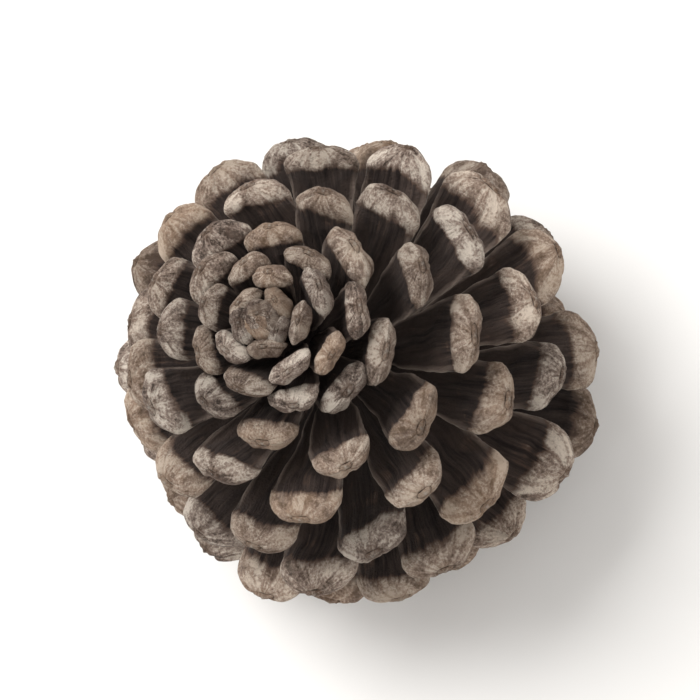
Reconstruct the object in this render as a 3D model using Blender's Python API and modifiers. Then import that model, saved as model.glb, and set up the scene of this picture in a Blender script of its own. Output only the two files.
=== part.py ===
"""An open, weathered black pine cone that stands on its base, leaning a little.

The cone frame has its origin under the middle of the base and +Z along the axis, towards the tip.
Scales are counted from the base to the tip, each one a golden angle further round the axis than the
one before. The lowest are closed and grown together into the base, the topmost into the tip, and every
scale between them is a piece of its own.
"""

import math
import random

import bmesh
import bpy
import numpy as np
from mathutils import Matrix, Vector

MM = 0.001

# How the whole cone is laid out.
GOLDEN_TURN = math.radians(137.508)
SCALE_COUNT = 130
BASE_COUNT = 46
OPEN_COUNT = 56

# A scale's claw starts this far outside the core, or this deep inside it where it has grown together,
# measured at the core's radius a little below the place of the claw.
CLEARANCE = 0.3
ROOTED = 1.5
MEASURED_BELOW = 1.0

# How it stands: the axis leans towards this bearing, counted from +X towards +Y, because the base has
# grown obliquely: its scales sit higher and point higher on that side. The effect fades out between
# two shares of the way from the base to the tip. Worn flats under the base carry the cone.
LEAN = math.radians(9.0)
LEAN_BEARING = math.radians(215.0)
OBLIQUE_FADE = (0.28, 0.55)
OBLIQUE_RISE = 0.4
WORN_OFF = 0.6

# How the scales change on the way from the base (0) to the tip (1), in millimetres and degrees.
STAGE = (0.00, 0.10, 0.22, 0.35, 0.45, 0.58, 0.70, 0.80, 0.90, 1.00)
ATTACH_HEIGHT = (1.6, 4.4, 7.8, 11.6, 15.6, 22.2, 29.0, 34.8, 40.2, 45.0)
LIFT = (-14.0, -16.0, -12.0, -3.0, 8.0, 24.0, 40.0, 54.0, 68.0, 82.0)
LENGTH = (5.5, 11.5, 18.0, 22.5, 23.5, 22.8, 20.5, 17.0, 12.5, 7.4)
WIDTH = (5.5, 8.0, 9.0, 9.2, 9.0, 8.6, 8.0, 7.0, 5.6, 4.0)
BEND = (4.0, 4.0, 6.0, 9.0, 12.0, 14.0, 14.0, 12.0, 9.0, 5.0)

# One scale, station by station from claw to rim: share of the length, half of the width as a share of
# the full half width, thickness above the spine and below it in millimetres.
STATIONS = (
    (0.00, 0.32, 0.70, 0.80),
    (0.20, 0.45, 0.55, 0.65),
    (0.48, 0.72, 0.50, 0.60),
    (0.73, 0.95, 0.55, 0.75),
    (0.80, 1.00, 0.65, 2.80),
    (0.90, 0.97, 0.65, 3.00),
    (0.97, 0.72, 0.55, 1.90),
    (1.00, 0.38, 0.30, 0.90),
)
FUSED_STATIONS = (STATIONS[0], STATIONS[3], STATIONS[4], STATIONS[5], STATIONS[7])

# The upper and lower corners of a section, as shares of its half width, and the share of the thickness
# that even the smallest scale would keep.
UPPER_CORNER = 0.55
LOWER_CORNER = 0.50
LEAST_THICKNESS = 0.4

# The core that the scales grow from, in three solids: height and radius up the length of each, the
# number of sides it is turned with, and how near two points of the turning are one.
BASE_CORE = ((1.6, 2.4), (0.9, 3.4), (1.6, 5.2), (4.5, 6.4), (8.2, 6.0), (9.8, 4.6), (12.8, 4.5))
AXIS_PROFILE = ((13.1, 4.6), (18.0, 4.2), (25.0, 3.6), (31.0, 3.0), (32.7, 2.8))
TIP_CORE = ((33.0, 2.7), (35.5, 2.5), (38.0, 2.8), (42.0, 3.2), (46.0, 3.2), (49.4, 2.4), (51.0, 1.2))
CORE_STEPS = 12
WELD = 0.01

# The block that wears the base flat, wide enough to reach past the whole cone.
GROUND_SIZE = 200.0


def vary(number, channel, spread):
    """The same small chance change each time for one scale and one channel."""
    return random.Random(1000 * channel + number).uniform(-spread, spread)


def axis_radius(height):
    heights, radii = zip(*AXIS_PROFILE)
    return float(np.interp(height, heights, radii))


def scale_shape(number):
    """Where one scale starts, how it points and how large it is, in the cone frame."""
    share = number / (SCALE_COUNT - 1)
    turn = number * GOLDEN_TURN + math.radians(vary(number, 5, 1.5))
    oblique = float(np.interp(share, OBLIQUE_FADE, (1.0, 0.0))) * math.cos(turn - LEAN_BEARING)
    attach = float(np.interp(share, STAGE, ATTACH_HEIGHT)) + oblique * OBLIQUE_RISE
    lift = float(np.interp(share, STAGE, LIFT)) + vary(number, 1, 1.8)
    lift += oblique * math.degrees(LEAN)
    bend = float(np.interp(share, STAGE, BEND)) + vary(number, 2, 3.0)
    length = float(np.interp(share, STAGE, LENGTH)) * (1.0 + vary(number, 3, 0.03))
    width = float(np.interp(share, STAGE, WIDTH)) * (1.0 + vary(number, 4, 0.05))
    return {
        "turn": turn,
        "attach": attach,
        "lift": math.radians(lift),
        "bend": math.radians(bend),
        "length": length,
        "width": width,
        "twist": math.radians(vary(number, 6, 5.0)),
        "fused": not BASE_COUNT <= number < BASE_COUNT + OPEN_COUNT,
    }


def spine_point(shape, along):
    """Point, direction and upper normal of a scale's spine at a share of its length."""
    first = shape["lift"] - 0.5 * shape["bend"]
    here = first + shape["bend"] * along
    claw = max(math.sin(first) * STATIONS[0][2], -math.sin(first) * STATIONS[0][3])
    clear = -ROOTED if shape["fused"] else CLEARANCE + claw
    start = axis_radius(shape["attach"] - MEASURED_BELOW) + clear
    out = start + shape["length"] * (math.sin(here) - math.sin(first)) / shape["bend"]
    up = shape["attach"] + shape["length"] * (math.cos(first) - math.cos(here)) / shape["bend"]
    radial = Vector((math.cos(shape["turn"]), math.sin(shape["turn"]), 0.0))
    point = radial * out + Vector((0.0, 0.0, up))
    forward = radial * math.cos(here) + Vector((0.0, 0.0, math.sin(here)))
    upper = Vector((0.0, 0.0, math.cos(here))) - radial * math.sin(here)
    return point, forward, upper


def scale_mesh(name, number, stations):
    """A closed loft through a scale's six-sided sections."""
    shape = scale_shape(number)
    thick = LEAST_THICKNESS + (1.0 - LEAST_THICKNESS) * shape["width"] / max(WIDTH)
    mesh = bpy.data.meshes.new(name)
    bm = bmesh.new()
    rings = []
    for along, half, above, below in stations:
        point, forward, upper = spine_point(shape, along)
        upper = Matrix.Rotation(shape["twist"] * along, 3, forward) @ upper
        side = forward.cross(upper)
        reach = 0.5 * shape["width"] * half
        corners = (
            (reach, 0.0),
            (UPPER_CORNER * reach, above * thick),
            (-UPPER_CORNER * reach, above * thick),
            (-reach, 0.0),
            (-LOWER_CORNER * reach, -below * thick),
            (LOWER_CORNER * reach, -below * thick),
        )
        rings.append([bm.verts.new((point + side * x + upper * y) * MM) for x, y in corners])
    for near, far in zip(rings, rings[1:]):
        for i, corner in enumerate(near):
            following = (i + 1) % len(near)
            bm.faces.new((corner, near[following], far[following], far[i]))
    bm.faces.new(reversed(rings[0]))
    bm.faces.new(rings[-1])
    bmesh.ops.recalc_face_normals(bm, faces=bm.faces)
    bm.to_mesh(mesh)
    bm.free()
    return mesh


def core_profile(name, profile):
    """Half of a core's lengthwise section: from the axis down along the profile and back to the axis."""
    outline = [(profile[-1][0], 0.0), *reversed(profile), (profile[0][0], 0.0)]
    mesh = bpy.data.meshes.new(name)
    points = [(radius * MM, 0.0, height * MM) for height, radius in outline]
    mesh.from_pydata(points, [(i, i + 1) for i in range(len(points) - 1)], [])
    return mesh


def turn_core(obj):
    """Turns a core's profile once round the cone's axis."""
    screw = obj.modifiers.new("turned", "SCREW")
    screw.axis = "Z"
    screw.angle = math.tau
    screw.steps = CORE_STEPS
    screw.render_steps = CORE_STEPS
    screw.use_merge_vertices = True
    screw.merge_threshold = WELD * MM


def wood(name, colour, roughness):
    """A dry wood material of one colour."""
    material = bpy.data.materials.new(name)
    material.use_nodes = True
    shader = material.node_tree.nodes["Principled BSDF"]
    shader.inputs["Base Color"].default_value = (*colour, 1.0)
    shader.inputs["Roughness"].default_value = roughness
    shader.inputs["Metallic"].default_value = 0.0
    return material


def collection(name, hidden):
    made = bpy.data.collections.new(name)
    bpy.context.scene.collection.children.link(made)
    made.hide_render = hidden
    return made


def place(mesh, name, group, material, frame, helper=False):
    """A new object for this mesh, standing in the cone frame."""
    obj = bpy.data.objects.new(name, mesh)
    group.objects.link(obj)
    obj.parent = frame
    mesh.materials.append(material)
    if helper:
        obj.hide_render = True
        obj.display_type = "WIRE"
    return obj


def join_all(obj, helpers):
    """Grows every helper of a collection together with this object."""
    union = obj.modifiers.new("grown together", "BOOLEAN")
    union.operation = "UNION"
    union.operand_type = "COLLECTION"
    union.collection = helpers
    union.solver = "EXACT"


def keep_outer_shell(obj):
    """Fixes the joins of this object in its mesh, and drops any crumb or sealed void they left."""
    evaluated = obj.evaluated_get(bpy.context.evaluated_depsgraph_get())
    mesh = bpy.data.meshes.new_from_object(evaluated)
    bm = bmesh.new()
    bm.from_mesh(mesh)
    loose = set(bm.verts)
    shells = []
    while loose:
        shell = {loose.pop()}
        edge = list(shell)
        while edge:
            edge = [other for v in edge for e in v.link_edges for other in e.verts if other in loose]
            edge = list(set(edge))
            shell.update(edge)
            loose.difference_update(edge)
        shells.append(shell)
    largest = max(shells, key=len)
    bmesh.ops.delete(bm, geom=[v for v in bm.verts if v not in largest], context="VERTS")
    bm.to_mesh(mesh)
    bm.free()
    obj.modifiers.clear()
    obj.data = mesh


def world_box(objects):
    """Lowest and highest corner of these objects as they stand."""
    bpy.context.view_layer.update()
    corners = np.array([obj.matrix_world @ v.co for obj in objects for v in obj.data.vertices])
    return corners.min(axis=0), corners.max(axis=0)


def main():
    for obj in list(bpy.data.objects):
        bpy.data.objects.remove(obj)
    cone = collection("pine_cone", hidden=False)
    base_helpers = collection("base_scale_helpers", hidden=True)
    tip_helpers = collection("tip_scale_helpers", hidden=True)
    cutters = collection("cutters", hidden=True)

    bark = wood("axis_wood", (0.045, 0.032, 0.026), 0.85)
    pale = wood("weathered_scale", (0.29, 0.23, 0.18), 0.8)
    base_wood = wood("base_scale", (0.22, 0.17, 0.135), 0.8)

    frame = bpy.data.objects.new("cone_frame", None)
    cone.objects.link(frame)

    axis = place(core_profile("cone_axis", AXIS_PROFILE), "cone_axis", cone, bark, frame)
    base = place(core_profile("cone_base", BASE_CORE), "cone_base", cone, base_wood, frame)
    tip = place(core_profile("cone_tip", TIP_CORE), "cone_tip", cone, pale, frame)
    for core in (axis, base, tip):
        turn_core(core)
    for number in range(SCALE_COUNT):
        first_tip = BASE_COUNT + OPEN_COUNT
        if number < BASE_COUNT:
            name = f"base_scale_{number + 1:02d}"
            place(scale_mesh(name, number, FUSED_STATIONS), name, base_helpers, base_wood, frame, True)
        elif number < first_tip:
            name = f"scale_{number - BASE_COUNT + 1:02d}"
            place(scale_mesh(name, number, STATIONS), name, cone, pale, frame)
        else:
            name = f"tip_scale_{number - first_tip + 1:02d}"
            place(scale_mesh(name, number, FUSED_STATIONS), name, tip_helpers, pale, frame, True)
    join_all(base, base_helpers)
    join_all(tip, tip_helpers)

    leaning = Vector((math.cos(LEAN_BEARING), math.sin(LEAN_BEARING), 0.0))
    frame.matrix_world = Matrix.Rotation(LEAN, 4, Vector((0.0, 0.0, 1.0)).cross(leaning))
    solids = [obj for obj in bpy.data.objects if obj.type == "MESH"]
    low, high = world_box(solids)
    middle = 0.5 * (low + high)
    frame.location = (-middle[0], -middle[1], -low[2] - WORN_OFF * MM)

    bpy.ops.mesh.primitive_cube_add(size=GROUND_SIZE * MM, location=(0.0, 0.0, -0.5 * GROUND_SIZE * MM))
    ground = bpy.context.object
    ground.name = "ground_cutter"
    ground.hide_render = True
    ground.display_type = "WIRE"
    for group in ground.users_collection:
        group.objects.unlink(ground)
    cutters.objects.link(ground)
    flat = base.modifiers.new("worn flat", "BOOLEAN")
    flat.operation = "DIFFERENCE"
    flat.object = ground
    flat.solver = "EXACT"
    bpy.context.view_layer.update()
    keep_outer_shell(base)
    keep_outer_shell(tip)


main()
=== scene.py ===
"""A weathered, open black pine cone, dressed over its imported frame.

Laid out as a Blender add-on and run as a script. One scale is modelled once as a pattern, and every
scale of the cone is a copy of its own, bent to its place in the spiral.
"""

import math
import random

import bmesh
import bpy
import numpy as np
from bpy.props import FloatProperty, FloatVectorProperty, PointerProperty
from mathutils import Matrix, Vector, noise


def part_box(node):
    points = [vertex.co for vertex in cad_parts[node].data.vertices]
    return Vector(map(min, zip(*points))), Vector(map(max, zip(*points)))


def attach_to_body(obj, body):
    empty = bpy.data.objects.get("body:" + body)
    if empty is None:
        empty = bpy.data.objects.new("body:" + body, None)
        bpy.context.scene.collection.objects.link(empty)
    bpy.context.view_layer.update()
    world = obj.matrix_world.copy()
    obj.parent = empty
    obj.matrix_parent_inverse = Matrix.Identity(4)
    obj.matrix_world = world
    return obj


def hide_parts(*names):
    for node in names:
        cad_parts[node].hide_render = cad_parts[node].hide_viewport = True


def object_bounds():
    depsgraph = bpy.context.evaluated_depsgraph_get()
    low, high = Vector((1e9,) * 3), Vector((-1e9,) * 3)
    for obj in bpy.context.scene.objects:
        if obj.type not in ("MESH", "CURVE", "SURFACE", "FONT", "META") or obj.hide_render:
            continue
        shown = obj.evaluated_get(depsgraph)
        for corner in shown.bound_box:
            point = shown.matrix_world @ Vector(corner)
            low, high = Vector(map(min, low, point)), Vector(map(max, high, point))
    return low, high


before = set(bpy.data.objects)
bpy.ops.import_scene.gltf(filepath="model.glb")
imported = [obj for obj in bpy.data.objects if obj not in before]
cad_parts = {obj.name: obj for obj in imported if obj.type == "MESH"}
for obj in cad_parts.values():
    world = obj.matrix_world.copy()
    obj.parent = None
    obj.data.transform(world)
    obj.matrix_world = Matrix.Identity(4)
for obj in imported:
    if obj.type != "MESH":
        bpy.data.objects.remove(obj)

bl_info = {
    "name": "Weathered Pine Cone",
    "version": (1, 0, 0),
    "blender": (4, 5, 0),
    "location": "View3D > Sidebar > Pine Cone",
    "description": "Models an open, weathered black pine cone scale by scale",
    "category": "Object",
}

MM = 0.001
CAD_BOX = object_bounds()

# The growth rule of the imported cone, repeated here: counts, then how the scales change from the
# base (0) to the tip (1), in millimetres and degrees.
GOLDEN_TURN = math.radians(137.508)
SCALE_COUNT = 130
BASE_COUNT = 46
OPEN_COUNT = 56
CLEARANCE = 0.3
ROOTED = 1.5
OBLIQUE_FADE = (0.28, 0.55)
OBLIQUE_RISE = 0.4
STAGE = (0.00, 0.10, 0.22, 0.35, 0.45, 0.58, 0.70, 0.80, 0.90, 1.00)
ATTACH_HEIGHT = (1.6, 4.4, 7.8, 11.6, 15.6, 22.2, 29.0, 34.8, 40.2, 45.0)
LIFT = (-14.0, -16.0, -12.0, -3.0, 8.0, 24.0, 40.0, 54.0, 68.0, 82.0)
LENGTH = (5.5, 11.5, 18.0, 22.5, 23.5, 22.8, 20.5, 17.0, 12.5, 7.4)
WIDTH = (5.5, 8.0, 9.0, 9.2, 9.0, 8.6, 8.0, 7.0, 5.6, 4.0)
BEND = (4.0, 4.0, 6.0, 9.0, 12.0, 14.0, 14.0, 12.0, 9.0, 5.0)
CLAW_ABOVE = 0.70
CLAW_BELOW = 0.80
HEIGHT_STEP = 1.0

# The small chance changes of a scale: each has its own row of random numbers.
CHANCES = (
    "lift", "bend", "length", "width", "turn", "twist", "tint",
    "reach", "swell", "aside", "thickness", "curl", "roll",
)

# The wood down the middle: height along the cone and radius, base, axis and tip in turn.
BASE_CORE = ((1.6, 2.4), (5.2, 5.2), (6.4, 6.0), (9.0, 5.2), (11.0, 4.6))
AXIS_PROFILE = ((13.1, 4.6), (18.0, 4.2), (25.0, 3.6), (31.0, 3.0), (32.7, 2.8))
TIP_CORE = ((38.0, 2.6), (42.0, 2.9), (46.0, 2.7), (49.4, 1.6))
SCAR_PROFILE = ((1.15, 2.9), (1.7, 3.2), (3.0, 3.0))
SCAR_RINGS = ((0.35, 0.12), (0.30, -0.35), (0.35, 0.30), (0.80, 0.05), (0.30, -0.45))
PIT_SIZE = 1.6

# The pattern scale: distance from the claw, half its width, the level of its side edge, and how far
# the seed side and the lower side stand from that level, in millimetres. A scale's thickness keeps
# THIN_SHARE whatever its size.
THIN_SHARE = 0.25
PATTERN_LENGTH = 23.5
PATTERN_WIDTH = 9.2
SHIELD_START = 17.3
CLAW = (1.5, 1.45, 0.00, 0.70, 0.80)
BLADE = (
    (4.2, 1.85, 0.00, 0.60, 0.70),
    (8.2, 2.75, 0.00, 0.50, 0.60),
    (12.2, 3.50, 0.00, 0.48, 0.62),
    (15.4, 4.00, 0.00, 0.50, 0.70),
    (17.3, 4.25, -0.05, 0.55, 0.80),
)
SHIELD = (
    (18.5, 4.42, -0.25, 0.75, 1.55),
    (19.6, 4.58, -0.50, 1.00, 2.20),
    (20.4, 4.60, -0.68, 1.45, 2.20),
    (21.5, 4.20, -0.88, 1.50, 1.80),
    (22.4, 3.20, -1.03, 1.15, 1.30),
    (23.1, 1.90, -1.10, 0.68, 0.75),
)
COLUMNS = (-0.66, -0.34, 0.0, 0.34, 0.66)
EDGE_SHARE = 0.20
UMBO = Vector((23.2, 0.0, -1.12))
UMBO_SEAT = (0.26, -0.02, 0.78)
UMBO_GROOVE = (0.10, -0.10)
UMBO_RISE = 0.36
POINT_OUT = 0.45
POINT_UP = 0.16
SEED_BED_DEPTH = 0.24
SEED_BED_BANK = 0.20
RIB_DEPTH = 0.25
KEEL_CREASE = 0.75

# Where the blade turns into the shield: on the middle line above, how it curves back to the sides,
# and on the lower face.
BORDER_MIDDLE = 20.9
BORDER_CURVE = 0.07
BORDER_BELOW = 18.5

# The bud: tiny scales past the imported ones, each a step higher, shorter, narrower and further in.
BUD_COUNT = 9
BUD_RISE = 0.35
BUD_SHORTER = 0.35
BUD_NARROWER = 0.15
BUD_STEP_IN = 0.13

# How far the tip scales close, in degrees of lift, over the last part of the growth.
CLOSING_STAGE = (0.74, 0.84, 0.93, 1.00)
CLOSING = (0.0, -7.0, -4.0, 12.0)

# The surface of a dried scale, in millimetres: depth of its wrinkles, where its drift starts, how
# far its claw reaches back into the core, the size of its twists and of its grit, and how far an
# open scale's box may be off its packed one.
SHIELD_WRINKLE = 0.20
BLADE_WRINKLE = 0.18
DRIFT_FROM = 8.0
CLAW_REACH = 1.4
WARP_SIZE = 6.0
GRIT_SIZE = 1.1
MOST_OFF = 2.5

# Patterns of the finishes, in marks to the millimetre: fibres lie 0.6 mm apart and run 9 mm along
# the blade, patches are 3 mm, grit is 0.3 mm, furrows run out from the umbo, and the strands of the
# core lie 0.7 mm apart. The relief of a scale's skin is in millimetres.
FIBRES = (0.11, 1.7, 1.0)
PATCHES = 0.34
GRIT = 3.2
FURROWS = (3.6, 3.6, 0.30)
STRANDS = (1.5, 1.5, 0.22)
BRIGHTNESS = (0.72, 1.18)
RELIEF = 0.9

# The stage, in metres and watts.
FLOOR_SIDE = 5.0
ROOM_COLOUR = (1.0, 0.99, 0.98, 1.0)
ROOM_LIGHT = 0.72
LAMPS = (
    ("key", Vector((-0.36, 0.24, 0.72)), 0.50, 6.1),
    ("fill", Vector((0.6, -0.5, 0.6)), 0.8, 0.9),
)


def linear(hex_colour):
    """An sRGB hex colour as linear red, green and blue."""
    parts = [int(hex_colour[i : i + 2], 16) / 255 for i in (1, 3, 5)]
    return tuple(c / 12.92 if c <= 0.04045 else ((c + 0.055) / 1.055) ** 2.4 for c in parts)


def colour_of(name, description, hex_colour):
    return FloatVectorProperty(
        name=name,
        description=description,
        default=linear(hex_colour),
        subtype="COLOR",
        min=0.0,
        max=1.0,
    )


class PineConeWood(bpy.types.PropertyGroup):
    """Colours of the weathered wood."""

    # shield_pale also lightens the standing edges, partly as real wear and partly as a painted
    # highlight.
    shield_pale: colour_of("Pale Shield", "Bleached, dusty wood of the scale ends", "#d8cbbc")
    shield_mid: colour_of("Mid Shield", "Grey-brown wood of the scale ends", "#958377")
    shield_warm: colour_of("Warm Shield", "Tan wood of the scales that weathered least", "#a38467")
    # shield_deep is also the painted shade in the grooves of a scale.
    shield_deep: colour_of("Deep Shield", "Dirt in the furrows of the scale ends", "#40342c")
    # rim also darkens the lower half of each shield end, partly as painted shade and partly as wood
    # that weathered less.
    rim: colour_of("Rim", "Brown wood where the blade turns into the shield", "#634f44")
    umbo: colour_of("Umbo", "Rusty wood round the knob of each scale end", "#6d5341")
    blade_light: colour_of("Light Blade", "Fibres that catch the light on a blade", "#5c4e47")
    blade_dark: colour_of("Dark Blade", "Dark wood of a blade", "#261c19")
    imprint: colour_of("Seed Imprint", "Smooth wood where the winged seeds lay", "#4f4038")
    underside: colour_of("Underside", "Nearly black wood below a blade", "#17100e")
    axis_wood: colour_of("Axis Wood", "Dark fibrous wood of the axis", "#241a16")
    scar_wood: colour_of("Scar Wood", "Torn orange wood where the stalk was", "#a56f52")
    floor: colour_of("Floor", "Pale matt floor", "#f1efec")


class PineConeSizes(bpy.types.PropertyGroup):
    """Sizes of the surface detail and of the view."""

    warp: FloatProperty(
        name="Warp",
        description="How far a dried scale twists out of true",
        default=0.7 * MM,
        unit="LENGTH",
    )
    grit: FloatProperty(
        name="Grit",
        description="Depth of the rough skin of a scale end",
        default=0.27 * MM,
        unit="LENGTH",
    )
    lens: FloatProperty(
        name="Lens", description="Focal length of the camera in millimetres", default=135.0
    )
    tip_left: FloatProperty(
        name="Tip Left",
        description="Turn of the tip to the left of the view",
        default=math.radians(18),
        subtype="ANGLE",
    )
    tip_up: FloatProperty(
        name="Tip Up",
        description="Turn of the tip towards the top of the view",
        default=math.radians(10),
        subtype="ANGLE",
    )
    view_width: FloatProperty(
        name="View Width", description="Width of the view at the cone", default=0.080, unit="LENGTH"
    )


# ---------------------------------------------------------------- growth rule


def vary(number, what, spread):
    """The same small chance change each time for one scale and one of its CHANCES."""
    row = 1 + CHANCES.index(what)
    return random.Random(1000 * row + number).uniform(-spread, spread)


def axis_radius(height):
    heights, radii = zip(*AXIS_PROFILE)
    return float(np.interp(height, heights, radii))


def cone_matrix():
    """The cone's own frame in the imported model: origin below the base, +Z towards the tip."""
    corners = {tuple(round(c, 7) for c in v.co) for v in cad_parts["cone_axis"].data.vertices}
    points = np.array(sorted(corners))
    middle = points.mean(axis=0)
    along = np.linalg.svd(points - middle)[2][0]
    along *= math.copysign(1.0, along[2])
    heights = (points - middle) @ along
    foot = Vector(points[heights < heights.min() + 0.1 * MM].mean(axis=0))
    head = Vector(points[heights > heights.max() - 0.1 * MM].mean(axis=0))
    axis = (head - foot).normalized()
    turn = Vector((0.0, 0.0, 1.0)).rotation_difference(axis).to_matrix().to_4x4()
    return Matrix.Translation(foot - axis * AXIS_PROFILE[0][0] * MM) @ turn


CONE = cone_matrix()
CONE_AXIS = CONE.to_3x3() @ Vector((0.0, 0.0, 1.0))
LEAN = math.acos(CONE_AXIS.z)
LEAN_BEARING = math.atan2(CONE_AXIS.y, CONE_AXIS.x)


def scale_shape(number):
    """Where one scale starts, how it points and how large it is, in the cone frame."""
    share = number / (SCALE_COUNT - 1)
    turn = number * GOLDEN_TURN + math.radians(vary(number, "turn", 1.5))
    oblique = float(np.interp(share, OBLIQUE_FADE, (1.0, 0.0))) * math.cos(turn - LEAN_BEARING)
    lift = float(np.interp(share, STAGE, LIFT)) + oblique * math.degrees(LEAN)
    lift += float(np.interp(share, CLOSING_STAGE, CLOSING)) + vary(number, "lift", 1.8)
    attach, length, width, bend = (
        float(np.interp(share, STAGE, rule)) for rule in (ATTACH_HEIGHT, LENGTH, WIDTH, BEND)
    )
    bud = max(0, number - SCALE_COUNT + 1)
    return {
        "turn": turn,
        "attach": attach + oblique * OBLIQUE_RISE + BUD_RISE * bud,
        "lift": math.radians(lift),
        "bend": math.radians(bend + vary(number, "bend", 3.0)),
        "length": length * (1.0 + vary(number, "length", 0.03)) - BUD_SHORTER * bud,
        "width": width * (1.0 + vary(number, "width", 0.05)) - BUD_NARROWER * bud,
        "twist": math.radians(vary(number, "twist", 5.0)),
        "inward": BUD_STEP_IN * bud,
        "fused": not BASE_COUNT <= number < BASE_COUNT + OPEN_COUNT,
    }


def bent_to_place(pattern, shape):
    """The pattern's points, in millimetres, carried onto one scale's spine, in metres."""
    size = shape["width"] / PATTERN_WIDTH
    thick = THIN_SHARE + (1.0 - THIN_SHARE) * size
    x, y, z = pattern.T
    shield_share = (PATTERN_LENGTH - SHIELD_START) * size / shape["length"]
    along = np.where(
        x > SHIELD_START,
        1.0 - (PATTERN_LENGTH - x) * size / shape["length"],
        x / SHIELD_START * (1.0 - shield_share),
    )
    first = shape["lift"] - 0.5 * shape["bend"]
    here = first + shape["bend"] * along
    claw = max(math.sin(first) * CLAW_ABOVE, -math.sin(first) * CLAW_BELOW)
    start = axis_radius(shape["attach"] - HEIGHT_STEP) - shape["inward"]
    start += -ROOTED if shape["fused"] else CLEARANCE + claw
    out = start + shape["length"] * (np.sin(here) - math.sin(first)) / shape["bend"]
    up = shape["attach"] + shape["length"] * (math.cos(first) - np.cos(here)) / shape["bend"]
    twist = shape["twist"] * along
    side = y * size * np.cos(twist) + z * thick * np.sin(twist)
    upper = z * thick * np.cos(twist) - y * size * np.sin(twist)
    radial = np.array((math.cos(shape["turn"]), math.sin(shape["turn"]), 0.0))
    around = np.array((math.sin(shape["turn"]), -math.cos(shape["turn"]), 0.0))
    rise = np.array((0.0, 0.0, 1.0))
    points = (
        np.outer(out - upper * np.sin(here), radial)
        + np.outer(up + upper * np.cos(here), rise)
        + np.outer(side, around)
    )
    return points * MM @ np.array(CONE.to_3x3()).T + np.array(CONE.translation)


# ---------------------------------------------------------------- shaping tools


def select_only(obj):
    bpy.ops.object.select_all(action="DESELECT")
    obj.select_set(True)
    bpy.context.view_layer.objects.active = obj


def pick(test, kind="VERT"):
    """Selects the vertices for which test(co) is true, or faces for which test(centre, normal)."""
    mesh = bpy.context.object.data
    bpy.ops.mesh.select_mode(type=kind)
    shape = bmesh.from_edit_mesh(mesh)
    if kind == "VERT":
        for vertex in shape.verts:
            vertex.select_set(bool(test(vertex.co / MM)))
    else:
        for face in shape.faces:
            face.select_set(bool(test(face.calc_center_median() / MM, face.normal)))
    shape.select_flush_mode()
    bmesh.update_edit_mesh(mesh)


def move(x, y, z):
    bpy.ops.transform.translate(value=(x * MM, y * MM, z * MM))


def resize(x, y, z, about):
    bpy.ops.transform.resize(value=(x, y, z), center_override=Vector(about) * MM)


def finish_with(obj, kind, **settings):
    """Adds a modifier with these settings and applies it."""
    select_only(obj)
    modifier = obj.modifiers.new(kind.lower(), kind)
    for key, value in settings.items():
        setattr(modifier, key, value)
    bpy.ops.object.modifier_apply(modifier=modifier.name)


def shape_texture(name, kind, size, **settings):
    """A solid pattern in model space, made once, that a Displace modifier reads."""
    texture = bpy.data.textures.get(name) or bpy.data.textures.new(name, kind)
    texture.noise_scale = size * MM
    for key, value in settings.items():
        setattr(texture, key, value)
    return texture


# ---------------------------------------------------------------- the pattern scale


def draw_out(last, station):
    """Extrudes the picked end to the next station and gives it that station's section."""
    x, half, level, above, below = station
    step = (x - last[0]) * MM
    bpy.ops.mesh.extrude_region_move(TRANSFORM_OT_translate={"value": (step, 0.0, 0.0)})
    move(0.0, 0.0, level - last[2])
    resize(1.0, half / last[1], 1.0, (x, 0.0, level))
    pick(lambda p: p.x > x - 0.05 and p.z > level + 0.02)
    resize(1.0, 1.0, above / last[3], (x, 0.0, level))
    pick(lambda p: p.x > x - 0.05 and p.z < level - 0.02)
    resize(1.0, 1.0, below / last[4], (x, 0.0, level))
    pick(lambda c, n: n.x > 0.5 and c.x > x - 0.05, "FACE")
    return station


def press_seed_beds():
    """Two beds side by side on the upper face, where the winged seeds lay, and a rib below."""
    start, end = BLADE[0][0], BLADE[-1][0]
    pick(lambda p: start < p.x + 0.1 < end and p.z > 0.3 and 0.1 < abs(p.y) < 0.6 * end)
    move(0.0, 0.0, -SEED_BED_DEPTH)
    pick(lambda p: start < p.x + 0.1 < end and 0.05 < p.z < 0.24 and abs(p.y) > 1.5)
    move(0.0, 0.0, SEED_BED_BANK)
    pick(lambda p: start < p.x + 0.1 < end and p.z < -0.3 and abs(p.y) < 0.1)
    move(0.0, 0.0, -RIB_DEPTH)


def raise_umbo():
    """The knob in the middle of the shield, in a groove, with a small hooked point."""
    front = SHIELD[-1][0]
    pick(lambda c, n: n.x > 0.5 and c.x > front - 0.05, "FACE")
    ring, depth, narrower = UMBO_SEAT
    bpy.ops.mesh.inset(thickness=ring * MM, depth=depth * MM)
    resize(1.0, narrower, 1.0, (front, 0.0, UMBO.z))
    ring, depth = UMBO_GROOVE
    bpy.ops.mesh.inset(thickness=ring * MM, depth=depth * MM)
    bpy.ops.mesh.extrude_region_move(TRANSFORM_OT_translate={"value": (UMBO_RISE * MM, 0.0, 0.0)})
    resize(1.0, 0.60, 0.80, (front, 0.0, UMBO.z))
    pick(lambda p: p.x > front + 0.1 and abs(p.y) < 0.1 and abs(p.z - UMBO.z) < 0.15)
    move(POINT_OUT, 0.0, POINT_UP)


def crease_keel():
    """Sharpens the cross keel that runs round the shield at the level of its side edge."""
    xs = [station[0] for station in SHIELD]
    levels = [station[2] for station in SHIELD]
    pick(lambda p: p.x > xs[0] - 0.1 and abs(p.z - np.interp(p.x, xs, levels)) < 0.08)
    bpy.ops.transform.edge_crease(value=KEEL_CREASE)


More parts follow.
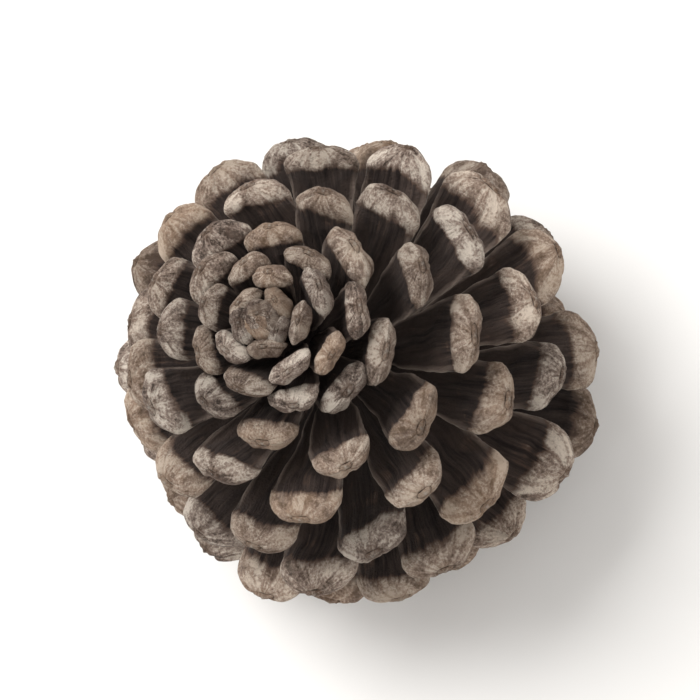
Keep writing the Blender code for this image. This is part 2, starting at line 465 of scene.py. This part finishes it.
def pattern_scale():
    """One whole scale, +X from claw to rim and +Z on the seed side, marked for its finish."""
    known = bpy.data.meshes.get("pattern_scale")
    if known:
        return known
    bpy.ops.object.select_all(action="DESELECT")
    bpy.ops.mesh.primitive_cube_add(size=1.0, location=(0.5 * CLAW[0] * MM, 0.0, 0.0))
    obj = bpy.context.object
    obj.name = "pattern"
    obj.scale = (CLAW[0] * MM, 2.0 * CLAW[1] * MM, (CLAW[3] + CLAW[4]) * MM)
    bpy.ops.object.transform_apply(location=True, rotation=False, scale=True)
    bpy.ops.object.mode_set(mode="EDIT")
    for column in COLUMNS:
        bpy.ops.mesh.select_all(action="SELECT")
        bpy.ops.mesh.bisect(plane_co=(0.0, column * CLAW[1] * MM, 0.0), plane_no=(0.0, 1.0, 0.0))
    bpy.ops.mesh.select_all(action="SELECT")
    bpy.ops.mesh.bisect(plane_co=(0.0, 0.0, 0.0), plane_no=(0.0, 0.0, 1.0))
    pick(lambda p: abs(p.y) > 0.9 * CLAW[1])
    resize(1.0, 1.0, EDGE_SHARE, (0.0, 0.0, 0.0))
    pick(lambda c, n: n.x > 0.5, "FACE")
    half_thick = 0.5 * (CLAW[3] + CLAW[4])
    last = (*CLAW[:3], half_thick, half_thick)
    for station in (*BLADE, *SHIELD):
        last = draw_out(last, station)
    press_seed_beds()
    raise_umbo()
    crease_keel()
    bpy.ops.mesh.select_all(action="SELECT")
    bpy.ops.mesh.normals_make_consistent(inside=False)
    bpy.ops.object.mode_set(mode="OBJECT")
    finish_with(obj, "SUBSURF", levels=2, render_levels=2)
    bpy.ops.object.shade_smooth()
    mesh = obj.data
    mesh.name = "pattern_scale"
    mesh.use_fake_user = True
    mark_zones(mesh)
    bpy.data.objects.remove(obj)
    return mesh


def points_of(mesh):
    points = np.empty(3 * len(mesh.vertices))
    mesh.vertices.foreach_get("co", points)
    return points.reshape(-1, 3)


def bulge(mesh):
    """How far each point stands out of its neighbours: 0 in a groove, 0.5 on a flat, 1 on edge."""
    points = points_of(mesh)
    normals = np.array([v.normal for v in mesh.vertices])
    edges = np.array([e.vertices for e in mesh.edges])
    total = np.zeros(len(points))
    count = np.zeros(len(points))
    for a, b in (edges.T, edges.T[::-1]):
        step = points[a] - points[b]
        step /= np.linalg.norm(step, axis=1)[:, None]
        np.add.at(total, a, (step * normals[a]).sum(axis=1))
        np.add.at(count, a, 1.0)
    return np.clip(0.5 + 1.6 * total / count, 0.0, 1.0)


def smooth_step(value, low, high):
    share = np.clip((value - low) / (high - low), 0.0, 1.0)
    return share * share * (3.0 - 2.0 * share)


def put_attribute(mesh, name, kind, values):
    mesh.attributes.new(name, kind, "POINT")
    field = "vector" if kind == "FLOAT_VECTOR" else "value"
    mesh.attributes[name].data.foreach_set(field, np.asarray(values, dtype=np.float32).ravel())


def mark_zones(mesh):
    """Stores where on the scale each point grew, for the patterns of its finish."""
    grown = points_of(mesh) / MM
    x, y, z = grown.T
    border = np.where(z > -0.3, BORDER_MIDDLE - BORDER_CURVE * y * y, BORDER_BELOW)
    shield = smooth_step(x - border, -1.4, 0.9)
    stations = np.array((CLAW, *BLADE, *SHIELD))
    half = np.interp(x, stations[:, 0], stations[:, 1])
    put_attribute(mesh, "edge", "FLOAT", smooth_step(np.abs(y) / half, 0.72, 1.0))
    bed = ((x - 11.5) / 7.0) ** 2 + ((np.abs(y) - 0.20 * x + 0.2) / (0.35 + 0.09 * x)) ** 2
    imprint = smooth_step(1.15 - bed, 0.0, 0.3) * (z > 0)
    put_attribute(mesh, "grown", "FLOAT_VECTOR", grown)
    put_attribute(mesh, "zones", "FLOAT_VECTOR", np.column_stack((shield, imprint, bulge(mesh))))
    height = (z - UMBO.z) * 1.3 - 0.35 * (UMBO.x - x) * np.sign(z - UMBO.z) * -1.0
    reach = np.hypot(y, height) + 1e-6
    put_attribute(mesh, "rays", "FLOAT_VECTOR", np.column_stack((y / reach, height / reach, reach)))


# ---------------------------------------------------------------- finishes


def add(tree, kind, fed=None, out=None, stops=None, **settings):
    """Adds a node, sets it, feeds its inputs with values or sockets, and returns an output."""
    node = tree.nodes.new(kind)
    for key, value in settings.items():
        setattr(node, key, value)
    for key, value in (fed or {}).items():
        socket = node.inputs[key] if isinstance(key, int) else next(
            s for s in node.inputs if s.enabled and s.name == key
        )
        if isinstance(value, bpy.types.NodeSocket):
            tree.links.new(value, socket)
        elif socket.type == "RGBA":
            socket.default_value = (*value, 1.0)
        else:
            socket.default_value = value
    if stops:
        ramp = node.color_ramp
        while len(ramp.elements) < len(stops):
            ramp.elements.new(1.0)
        for element, (place, colour) in zip(ramp.elements, stops):
            element.position = place
            grey = (colour, colour, colour)
            element.color = (*(colour if isinstance(colour, tuple) else grey), 1.0)
    return node.outputs[out] if out else next(s for s in node.outputs if s.enabled)


def new_finish(name):
    """A material with only its shader and output, and that shader's node."""
    material = bpy.data.materials.new(name)
    material.use_nodes = True
    tree = material.node_tree
    return material, tree, tree.nodes["Principled BSDF"]


def scale_finish():
    """Pine scale wood, dried open and bleached outdoors.

    The scale end is pale and chalky with dirt in furrows that run out from a rusty knob, the blade
    is dark and fibrous with two smooth seed imprints, and its lower side is nearly black. Painted
    shade darkens the grooves and the lower half of each shield end, and a painted highlight joins
    the wear that lightens its standing edges.
    """
    known = bpy.data.materials.get("weathered_pine_scale")
    if known:
        return known
    wood = bpy.context.scene.pine_cone_wood
    material, tree, shader = new_finish("weathered_pine_scale")
    grown = add(tree, "ShaderNodeAttribute", out="Vector", attribute_name="grown")
    zones = add(tree, "ShaderNodeAttribute", out="Vector", attribute_name="zones")
    rays = add(tree, "ShaderNodeAttribute", out="Vector", attribute_name="rays")
    chance = add(tree, "ShaderNodeAttribute", out="Fac", attribute_name="chance")
    edge = add(tree, "ShaderNodeAttribute", out="Fac", attribute_name="edge")
    split = add(tree, "ShaderNodeSeparateXYZ", {0: zones}).node
    shield, imprint, standing = split.outputs
    height = add(tree, "ShaderNodeSeparateXYZ", {0: grown}, out="Z")
    reach = add(tree, "ShaderNodeSeparateXYZ", {0: rays}, out="Z")
    seed = add(tree, "ShaderNodeMath", {0: chance, 1: 60.0}, operation="MULTIPLY")

    # Four patterns, which the colours and the relief share.
    long_way = add(tree, "ShaderNodeMapping", {"Vector": grown, "Scale": FIBRES})
    fibres = add(
        tree,
        "ShaderNodeTexNoise",
        {"Vector": long_way, "W": seed, "Scale": 1.0, "Detail": 6.0, "Roughness": 0.65},
        noise_dimensions="4D",
    )
    patches = add(
        tree,
        "ShaderNodeTexNoise",
        {"Vector": grown, "W": seed, "Scale": PATCHES, "Detail": 3.0},
        noise_dimensions="4D",
    )
    grit = add(
        tree,
        "ShaderNodeTexNoise",
        {"Vector": grown, "W": seed, "Scale": GRIT, "Detail": 4.0, "Roughness": 0.7},
        noise_dimensions="4D",
    )
    out_way = add(tree, "ShaderNodeMapping", {"Vector": rays, "Scale": FURROWS})
    furrows = add(
        tree,
        "ShaderNodeTexNoise",
        {
            "Vector": out_way,
            "W": seed,
            "Scale": 1.0,
            "Detail": 5.0,
            "Roughness": 0.6,
            "Distortion": 0.4,
        },
        noise_dimensions="4D",
    )

    # The blade: dark wood with lighter fibres on its upper face, almost black below.
    fibre_light = add(tree, "ShaderNodeValToRGB", {0: fibres}, stops=((0.36, 0.0), (0.70, 1.0)))
    upper = add(
        tree,
        "ShaderNodeMix",
        {"Factor": fibre_light, "A": tuple(wood.blade_dark), "B": tuple(wood.blade_light)},
        data_type="RGBA",
    )
    bed_share = add(tree, "ShaderNodeMath", {0: imprint, 1: 0.55}, operation="MULTIPLY")
    upper = add(
        tree,
        "ShaderNodeMix",
        {"Factor": bed_share, "A": upper, "B": tuple(wood.imprint)},
        data_type="RGBA",
    )
    worn_edge = add(tree, "ShaderNodeMath", {0: edge, 1: fibres}, operation="MULTIPLY")
    worn_edge = add(
        tree, "ShaderNodeMapRange", {"Value": worn_edge, "From Min": 0.15, "From Max": 0.55}
    )
    upper = add(
        tree,
        "ShaderNodeMix",
        {"Factor": worn_edge, "A": upper, "B": tuple(wood.shield_mid)},
        data_type="RGBA",
    )
    lower = add(
        tree,
        "ShaderNodeMix",
        {"Factor": fibre_light, "A": tuple(wood.underside), "B": tuple(wood.blade_dark)},
        data_type="RGBA",
    )
    on_top = add(tree, "ShaderNodeMapRange", {"Value": height, "From Min": -0.25, "From Max": 0.10})
    blade = add(tree, "ShaderNodeMix", {"Factor": on_top, "A": lower, "B": upper}, data_type="RGBA")

    # The shield: dirt stays in the furrows, the ridges between are bleached, and grit breaks both.
    mixed = add(tree, "ShaderNodeMath", {0: furrows, 1: grit}, operation="ADD")
    mixed = add(tree, "ShaderNodeMath", {0: mixed, 1: patches}, operation="ADD")
    shield_colour = add(
        tree,
        "ShaderNodeValToRGB",
        {0: add(tree, "ShaderNodeMath", {0: mixed, 1: 3.0}, operation="DIVIDE")},
        stops=(
            (0.42, tuple(wood.shield_deep)),
            (0.49, tuple(wood.shield_mid)),
            (0.56, tuple(wood.shield_pale)),
        ),
    )
    ring = add(
        tree,
        "ShaderNodeValToRGB",
        {0: add(tree, "ShaderNodeMath", {0: reach, 1: 4.0}, operation="DIVIDE")},
        stops=((0.03, 0.05), (0.13, 0.60), (0.24, 0.45), (0.40, 0.0)),
    )
    shield_colour = add(
        tree,
        "ShaderNodeMix",
        {"Factor": ring, "A": shield_colour, "B": tuple(wood.umbo)},
        data_type="RGBA",
    )
    # Darker below the keel: partly painted shade on the lower half of the shield, partly browner
    # wood that weathered less.
    below_keel_weather_and_shade = add(
        tree,
        "ShaderNodeMapRange",
        {"Value": height, "From Min": UMBO.z - 0.1, "From Max": UMBO.z - 0.5, "To Max": 0.45},
    )
    shield_colour = add(
        tree,
        "ShaderNodeMix",
        {"Factor": below_keel_weather_and_shade, "A": shield_colour, "B": tuple(wood.rim)},
        data_type="RGBA",
    )
    warmth = add(tree, "ShaderNodeMath", {0: chance, 1: 7.0}, operation="MULTIPLY")
    warmth = add(tree, "ShaderNodeMath", {0: warmth}, operation="FRACT")
    warmth = add(tree, "ShaderNodeMath", {0: warmth, 1: patches}, operation="MULTIPLY")
    warmth = add(
        tree,
        "ShaderNodeMapRange",
        {"Value": warmth, "From Min": 0.12, "From Max": 0.55, "To Max": 0.50},
    )
    shield_colour = add(
        tree,
        "ShaderNodeMix",
        {"Factor": warmth, "A": shield_colour, "B": tuple(wood.shield_warm)},
        data_type="RGBA",
    )
    ragged = add(tree, "ShaderNodeMath", {0: patches, 1: fibres}, operation="ADD")
    ragged = add(tree, "ShaderNodeMath", {0: ragged, 1: 1.0}, operation="SUBTRACT")
    ragged = add(tree, "ShaderNodeMath", {0: ragged, 1: 1.6, 2: shield}, operation="MULTIPLY_ADD")
    on_rim = add(tree, "ShaderNodeMapRange", {"Value": ragged, "From Min": 0.22, "From Max": 0.42})
    on_shield = add(
        tree, "ShaderNodeMapRange", {"Value": ragged, "From Min": 0.40, "From Max": 0.85}
    )
    colour = add(
        tree,
        "ShaderNodeMix",
        {"Factor": on_rim, "A": blade, "B": tuple(wood.rim)},
        data_type="RGBA",
    )
    colour = add(
        tree,
        "ShaderNodeMix",
        {"Factor": on_shield, "A": colour, "B": shield_colour},
        data_type="RGBA",
    )

    # Standing edges are lightened by wear and by a painted highlight, and grooves get painted
    # shade.
    wear_and_highlight = add(
        tree, "ShaderNodeMapRange", {"Value": standing, "From Min": 0.57, "From Max": 0.78}
    )
    wear_and_highlight = add(tree, "ShaderNodeMath", {0: wear_and_highlight, 1: grit}, operation="MULTIPLY")
    colour = add(
        tree,
        "ShaderNodeMix",
        {"Factor": wear_and_highlight, "A": colour, "B": tuple(wood.shield_pale)},
        data_type="RGBA",
    )
    # Painted shade: the grooves of the scale are darkened towards shield_deep.
    groove_shade = add(
        tree, "ShaderNodeMapRange", {"Value": standing, "From Min": 0.46, "From Max": 0.31}
    )
    colour = add(
        tree,
        "ShaderNodeMix",
        {"Factor": groove_shade, "A": colour, "B": tuple(wood.shield_deep)},
        data_type="RGBA",
    )
    low, high = BRIGHTNESS
    bright = add(tree, "ShaderNodeMapRange", {"Value": chance, "To Min": low, "To Max": high})
    colour = add(tree, "ShaderNodeHueSaturation", {"Color": colour, "Value": bright})

    relief = add(
        tree, "ShaderNodeMix", {"Factor": on_shield, "A": fibres, "B": furrows}, data_type="FLOAT"
    )
    relief = add(tree, "ShaderNodeMath", {0: grit, 1: 0.60, 2: relief}, operation="MULTIPLY_ADD")
    bump = add(tree, "ShaderNodeBump", {"Height": relief, "Strength": 0.9, "Distance": RELIEF * MM})
    rough = add(tree, "ShaderNodeMapRange", {"Value": grit, "To Min": 0.62, "To Max": 0.92})
    tree.links.new(colour, shader.inputs["Base Color"])
    tree.links.new(rough, shader.inputs["Roughness"])
    tree.links.new(bump, shader.inputs["Normal"])
    shader.inputs["Specular IOR Level"].default_value = 0.3
    return material


def core_finish(name, deep, light):
    """Split fibrous wood along the axis: dark strands with paler torn ones between."""
    material, tree, shader = new_finish(name)
    place = add(tree, "ShaderNodeTexCoord", out="Object")
    scale = tuple(marks / MM for marks in STRANDS)
    strands = add(tree, "ShaderNodeMapping", {"Vector": place, "Scale": scale})
    fibres = add(
        tree,
        "ShaderNodeTexNoise",
        {"Vector": strands, "Scale": 1.0, "Detail": 6.0, "Roughness": 0.7},
    )
    colour = add(tree, "ShaderNodeValToRGB", {0: fibres}, stops=((0.35, deep), (0.72, light)))
    bump = add(tree, "ShaderNodeBump", {"Height": fibres, "Strength": 0.8, "Distance": 0.4 * MM})
    tree.links.new(colour, shader.inputs["Base Color"])
    tree.links.new(bump, shader.inputs["Normal"])
    shader.inputs["Roughness"].default_value = 0.9
    return material


def floor_finish(wood):
    """Matt painted board: an even pale ground with the faintest mottle of a roller."""
    material, tree, shader = new_finish("matt_painted_board")
    place = add(tree, "ShaderNodeTexCoord", out="Object")
    mottle = add(tree, "ShaderNodeTexNoise", {"Vector": place, "Scale": 60.0, "Detail": 3.0})
    dark = tuple(0.985 * c for c in wood.floor)
    colour = add(
        tree,
        "ShaderNodeMix",
        {"Factor": mottle, "A": dark, "B": tuple(wood.floor)},
        data_type="RGBA",
    )
    tree.links.new(colour, shader.inputs["Base Color"])
    shader.inputs["Roughness"].default_value = 0.85
    return material


# ---------------------------------------------------------------- pieces


def settle(obj, material, node_names):
    """Gives a finished piece its material and its place in the frame's table."""
    obj.data.materials.clear()
    obj.data.materials.append(material)
    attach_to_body(obj, "root")
    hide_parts(*node_names)


def grow_scale(number, name):
    """One scale: the pattern bent to its place, dried out of true and roughened."""
    sizes = bpy.context.scene.pine_cone_sizes
    shape = scale_shape(number)
    mesh = pattern_scale().copy()
    mesh.name = name
    placed = bent_to_place(dried((points_of(mesh) + wrinkles(mesh, number)) / MM, number), shape)
    mesh.vertices.foreach_set("co", placed.ravel())
    tint = 0.5 + vary(number, "tint", 0.5)
    put_attribute(mesh, "chance", "FLOAT", np.full(len(mesh.vertices), tint))
    obj = bpy.data.objects.new(name, mesh)
    bpy.context.scene.collection.objects.link(obj)
    size = shape["width"] / PATTERN_WIDTH
    warp = shape_texture("drying_warp", "CLOUDS", WARP_SIZE, cloud_type="COLOR", noise_depth=2)
    finish_with(
        obj,
        "DISPLACE",
        texture=warp,
        texture_coords="LOCAL",
        direction="RGB_TO_XYZ",
        strength=2.0 * sizes.warp * size,
        mid_level=0.5,
    )
    grit = shape_texture("skin_grit", "CLOUDS", GRIT_SIZE, noise_depth=3)
    finish_with(
        obj,
        "DISPLACE",
        texture=grit,
        texture_coords="LOCAL",
        strength=sizes.grit * size,
        mid_level=0.5,
    )
    points = points_of(obj.data)
    points[:, 2] = np.maximum(points[:, 2], 0.0)
    obj.data.vertices.foreach_set("co", points.ravel())
    obj.data.update()
    return obj


def turned_core(name, profile, sides=20):
    """A closed core drawn up from a disc, ring by ring, along the cone's axis."""
    height, radius = profile[0]
    bpy.ops.object.select_all(action="DESELECT")
    bpy.ops.mesh.primitive_circle_add(
        vertices=sides, radius=radius * MM, fill_type="TRIFAN", location=(0.0, 0.0, height * MM)
    )
    obj = bpy.context.object
    obj.name = name
    obj.data.name = name
    bpy.ops.object.transform_apply(location=True, rotation=False, scale=False)
    bpy.ops.object.mode_set(mode="EDIT")
    bpy.ops.mesh.select_all(action="SELECT")
    for above, wide in profile[1:]:
        step = (above - height) * MM
        bpy.ops.mesh.extrude_region_move(TRANSFORM_OT_translate={"value": (0.0, 0.0, step)})
        resize(wide / radius, wide / radius, 1.0, (0.0, 0.0, above))
        height, radius = above, wide
    bpy.ops.mesh.select_all(action="SELECT")
    bpy.ops.mesh.normals_make_consistent(inside=False)
    bpy.ops.object.mode_set(mode="OBJECT")
    return obj


def tear_stalk(obj, foot):
    """Breaks the foot of the scar: a rim of bark, a groove, a ring of torn wood and the pith."""
    select_only(obj)
    bpy.ops.object.mode_set(mode="EDIT")
    pick(lambda c, n: n.z < -0.5 and c.z < foot + 0.05, "FACE")
    for width, depth in SCAR_RINGS:
        bpy.ops.mesh.inset(thickness=width * MM, depth=depth * MM)
    bpy.ops.object.mode_set(mode="OBJECT")


def roughen_core(obj, levels, pit):
    """Rounds a core, stands it on the cone's axis and pits its surface."""
    finish_with(obj, "SUBSURF", levels=levels, render_levels=levels)
    obj.data.transform(CONE)
    pits = shape_texture("core_pits", "STUCCI", PIT_SIZE)
    finish_with(
        obj,
        "DISPLACE",
        texture=pits,
        texture_coords="LOCAL",
        strength=pit * MM,
        mid_level=0.6,
    )
    bpy.ops.object.shade_smooth()


def wrinkles(mesh, number):
    """Ridges that run out from the umbo over the shield and along the blade, in metres."""
    grown, zones, rays = (attribute_of(mesh, name) for name in ("grown", "zones", "rays"))
    normals = np.array([v.normal for v in mesh.vertices])
    seed = 10.0 * number
    out_way = np.column_stack((3.0 * rays[:, 0] + seed, 3.0 * rays[:, 1], 0.25 * rays[:, 2]))
    long_way = np.column_stack((1.1 * grown[:, 1] + seed, 0.10 * grown[:, 0], np.sign(grown[:, 2])))
    shield = zones[:, 0] * smooth_step(rays[:, 2], 0.5, 1.6)
    blade = (1.0 - zones[:, 0]) * smooth_step(grown[:, 0], 2.0, 6.0)
    height = shield * SHIELD_WRINKLE * noise_at(out_way)
    height += blade * BLADE_WRINKLE * noise_at(long_way)
    return normals * height[:, None] * MM


def dried(pattern, number):
    """Joins the claw to the core and dries the scale: its end drifts, rolls, curls and swells."""
    x, y, z = pattern.T
    drift = np.clip((x - DRIFT_FROM) / (PATTERN_LENGTH - DRIFT_FROM), 0.0, 1.0) ** 2
    end = np.clip(x - SHIELD_START, 0.0, None)
    claw = np.clip(1.0 - x / BLADE[0][0], 0.0, 1.0)
    roll = drift * math.radians(vary(number, "roll", 9.0))
    wider = 1.0 + end * vary(number, "swell", 0.02)
    thicker = 1.0 + end * vary(number, "thickness", 0.03)
    return np.column_stack(
        (
            x + end * vary(number, "reach", 0.12) - claw * CLAW_REACH,
            y * wider + drift * vary(number, "aside", 1.1) - z * roll,
            z * thicker + drift * vary(number, "curl", 0.8) + y * roll,
        )
    )


def noise_at(points):
    return np.array([noise.noise(Vector(point)) for point in points])


def attribute_of(mesh, name):
    values = np.empty(3 * len(mesh.vertices), dtype=np.float32)
    mesh.attributes[name].data.foreach_get("vector", values)
    return values.reshape(-1, 3).astype(float)


class PINECONE_OT_core(bpy.types.Operator):
    """Models the woody core and the torn stalk scar"""

    bl_idname = "pinecone.core"
    bl_label = "Core"

    def execute(self, context):
        wood = context.scene.pine_cone_wood
        core = turned_core("axis_core", (*BASE_CORE, *AXIS_PROFILE, *TIP_CORE))
        roughen_core(core, 3, 0.9)
        finish = core_finish("split_axis_wood", tuple(wood.axis_wood), tuple(wood.blade_light))
        settle(core, finish, ["cone_axis"])
        scar = turned_core("stalk_scar", SCAR_PROFILE)
        tear_stalk(scar, SCAR_PROFILE[0][0])
        roughen_core(scar, 2, 0.35)
        finish = core_finish("torn_stalk_wood", tuple(wood.umbo), tuple(wood.scar_wood))
        settle(scar, finish, ["cone_base"])
        return {"FINISHED"}


class PINECONE_OT_base_scales(bpy.types.Operator):
    """Models the crowded scales of the base"""

    bl_idname = "pinecone.base_scales"
    bl_label = "Base Scales"

    def execute(self, context):
        for number in range(BASE_COUNT):
            obj = grow_scale(number, f"base_scale_{number + 1:02d}")
            settle(obj, scale_finish(), ["cone_base"])
        return {"FINISHED"}


class PINECONE_OT_open_scales(bpy.types.Operator):
    """Models the open scales, each in the place of its own packed scale"""

    bl_idname = "pinecone.open_scales"
    bl_label = "Open Scales"

    def execute(self, context):
        for number in range(BASE_COUNT, BASE_COUNT + OPEN_COUNT):
            node = f"scale_{number - BASE_COUNT + 1:02d}"
            obj = grow_scale(number, f"open_{node}")
            points = points_of(obj.data)
            low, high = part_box(node)
            below, above = points.min(axis=0) - low, points.max(axis=0) - high
            gap = max(np.abs(below).max(), np.abs(above).max())
            if gap > MOST_OFF * MM:
                raise RuntimeError(f"{node} is {gap / MM:.1f} mm off its packed scale")
            settle(obj, scale_finish(), [node])
        return {"FINISHED"}


class PINECONE_OT_tip_scales(bpy.types.Operator):
    """Models the small scales that close over the tip"""

    bl_idname = "pinecone.tip_scales"
    bl_label = "Tip Scales"

    def execute(self, context):
        for number in range(BASE_COUNT + OPEN_COUNT, SCALE_COUNT + BUD_COUNT):
            obj = grow_scale(number, f"tip_scale_{number - BASE_COUNT - OPEN_COUNT + 1:02d}")
            settle(obj, scale_finish(), ["cone_tip"])
        return {"FINISHED"}


class PINECONE_OT_stage(bpy.types.Operator):
    """Lays the floor and sets the lights and the camera"""

    bl_idname = "pinecone.stage"
    bl_label = "Stage"

    def execute(self, context):
        scene = context.scene
        sizes = scene.pine_cone_sizes
        bpy.ops.object.select_all(action="DESELECT")
        bpy.ops.mesh.primitive_plane_add(size=FLOOR_SIDE, location=(0.0, 0.0, 0.0))
        floor = context.object
        floor.name = "floor"
        floor.data.materials.append(floor_finish(scene.pine_cone_wood))

        low, high = (Vector(corner) for corner in CAD_BOX)
        middle = 0.5 * (low + high)
        world = bpy.data.worlds.new("soft_room")
        world.use_nodes = True
        background = world.node_tree.nodes["Background"]
        background.inputs["Color"].default_value = ROOM_COLOUR
        background.inputs["Strength"].default_value = ROOM_LIGHT
        scene.world = world
        for name, place, side, power in LAMPS:
            data = bpy.data.lights.new(name, "AREA")
            data.size = side
            data.energy = power
            light = bpy.data.objects.new(name, data)
            light.location = place
            light.rotation_euler = (middle - place).to_track_quat("-Z", "Y").to_euler()
            scene.collection.objects.link(light)

        data = bpy.data.cameras.new("camera")
        data.lens = sizes.lens
        distance = sizes.view_width * data.lens / data.sensor_width
        tilt = Matrix.Rotation(sizes.tip_left, 3, "Y") @ Matrix.Rotation(sizes.tip_up, 3, "X")
        back = (tilt @ CONE_AXIS).normalized()
        right = Vector((0.0, 1.0, 0.0)).cross(back).normalized()
        camera = bpy.data.objects.new("camera", data)
        camera.location = middle + back * distance
        camera.rotation_euler = Matrix((right, back.cross(right), back)).transposed().to_euler()
        scene.collection.objects.link(camera)
        scene.camera = camera
        scene.view_settings.view_transform = "Standard"
        return {"FINISHED"}


class PINECONE_PT_panel(bpy.types.Panel):
    """Lists the steps of the pine cone in the sidebar"""

    bl_idname = "PINECONE_PT_panel"
    bl_label = "Pine Cone"
    bl_space_type = "VIEW_3D"
    bl_region_type = "UI"
    bl_category = "Pine Cone"

    def draw(self, context):
        column = self.layout.column()
        for group in (context.scene.pine_cone_wood, context.scene.pine_cone_sizes):
            for name in group.__annotations__:
                column.prop(group, name)
        for step in STEPS:
            column.operator(step.bl_idname)


STEPS = (
    PINECONE_OT_core,
    PINECONE_OT_base_scales,
    PINECONE_OT_open_scales,
    PINECONE_OT_tip_scales,
    PINECONE_OT_stage,
)
CLASSES = (PineConeWood, PineConeSizes, *STEPS, PINECONE_PT_panel)


def register():
    for item in CLASSES:
        bpy.utils.register_class(item)
    bpy.types.Scene.pine_cone_wood = PointerProperty(type=PineConeWood)
    bpy.types.Scene.pine_cone_sizes = PointerProperty(type=PineConeSizes)


def unregister():
    del bpy.types.Scene.pine_cone_sizes
    del bpy.types.Scene.pine_cone_wood
    for item in reversed(CLASSES):
        bpy.utils.unregister_class(item)


def main():
    register()
    bpy.ops.pinecone.core()
    bpy.ops.pinecone.base_scales()
    bpy.ops.pinecone.open_scales()
    bpy.ops.pinecone.tip_scales()
    bpy.ops.pinecone.stage()
    bpy.data.meshes.remove(bpy.data.meshes["pattern_scale"])


if __name__ == "__main__":
    main()
